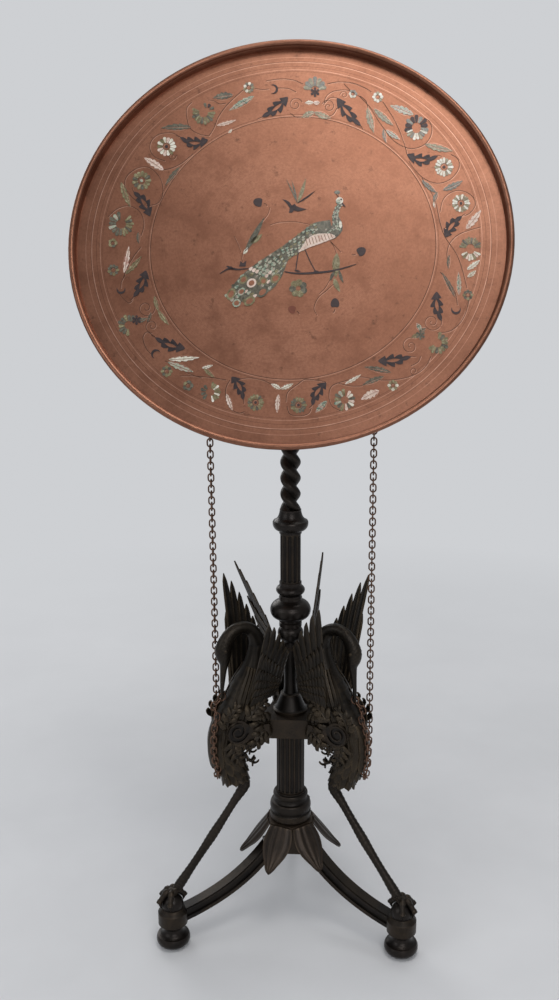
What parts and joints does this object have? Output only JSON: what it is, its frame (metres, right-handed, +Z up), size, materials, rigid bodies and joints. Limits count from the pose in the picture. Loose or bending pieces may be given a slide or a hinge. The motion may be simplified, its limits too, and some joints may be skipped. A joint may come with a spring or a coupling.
{
  "type": "tilt-top tray table",
  "caption": "Round inlaid copper tray that tips up on a hinge bar above a turned bronze column, on a tripod base with storks, clawed feet and hanging chains.",
  "frame": {"origin": "on the floor, under the axis of the column", "axes": "+Z up, +X along the hinge bar to the right as seen from the front, -Y to the front, the way the raised tray faces"},
  "size_m": [0.4329, 0.2863, 0.9514],
  "materials": {
    "copper_sheet": "satin, mottled",
    "dark_inlay": "dark patina",
    "shell_inlay": "polished shell",
    "brass_fittings": "dulled",
    "dark_bronze": "dark patina with rubbed edges",
    "brown_bronze": "brown patina",
    "chain_copper": "dull",
    "steel_fixings": "dull"
  },
  "bodies": {
    "stand": {"head_block": "dark_bronze", "hinge_bar": "brass_fittings", "bar_finials": "brass_fittings", "bar_grub_screw": "steel_fixings", "tie_rod": "steel_fixings", "tie_rod_nut": "steel_fixings", "tie_rod_washer": "steel_fixings", "twist_shaft": "dark_bronze", "collar_knop": "dark_bronze", "fluted_shaft": "dark_bronze", "ring_knop": "dark_bronze", "ball_knop": "dark_bronze", "small_knop": "dark_bronze", "slender_stem": "dark_bronze", "stork_plate": "dark_bronze", "reeded_column": "dark_bronze", "base_moulding": "dark_bronze", "leaf_collar": "brown_bronze", "base_leaves": "brown_bronze", "hub": "dark_bronze", "leg_studs": "steel_fixings", "scroll_studs": "steel_fixings", "tripod_leg_left": "dark_bronze", "tripod_leg_right": "dark_bronze", "tripod_leg_back": "dark_bronze", "bun_foot_left": "dark_bronze", "bun_foot_right": "dark_bronze", "bun_foot_back": "dark_bronze", "claw_ball_left": "dark_bronze", "claw_ball_right": "dark_bronze", "claw_ball_back": "dark_bronze", "stork_left": "dark_bronze", "stork_right": "dark_bronze", "stork_back": "dark_bronze", "stork_leg_left": "dark_bronze", "stork_leg_right": "dark_bronze", "stork_leg_back": "dark_bronze", "scroll_bracket_left": "dark_bronze", "scroll_bracket_right": "dark_bronze", "scroll_bracket_back": "dark_bronze", "wings_left": "dark_bronze", "wings_right": "dark_bronze", "wings_back": "dark_bronze", "chain_left": "chain_copper", "chain_right": "chain_copper", "chain_rings": "chain_copper"},
    "tray": {"tray": "copper_sheet", "tray_carrier": "brass_fittings", "hinge_bracket_left": "brass_fittings", "hinge_bracket_right": "brass_fittings", "bracket_screws": "brass_fittings", "dark_leaves": "dark_inlay", "shell_rosettes": "shell_inlay", "shell_palmettes": "shell_inlay", "shell_peacock": "shell_inlay", "dark_branch": "dark_inlay"},
    "lock": {"lock_bolt": "brass_fittings", "lock_knob": "brass_fittings"}
  },
  "joints": [
    {"name": "tray_tilt", "type": "hinge", "parent": "stand", "child": "tray", "pos_m": [0, 0, 0.746], "axis": [-1, 0, 0], "range_deg": [0, 63]},
    {"name": "lock_slide", "type": "slide", "parent": "tray", "child": "lock", "axis": [-1, 0, 0], "range_m": [0, 0.008]}
  ]
}
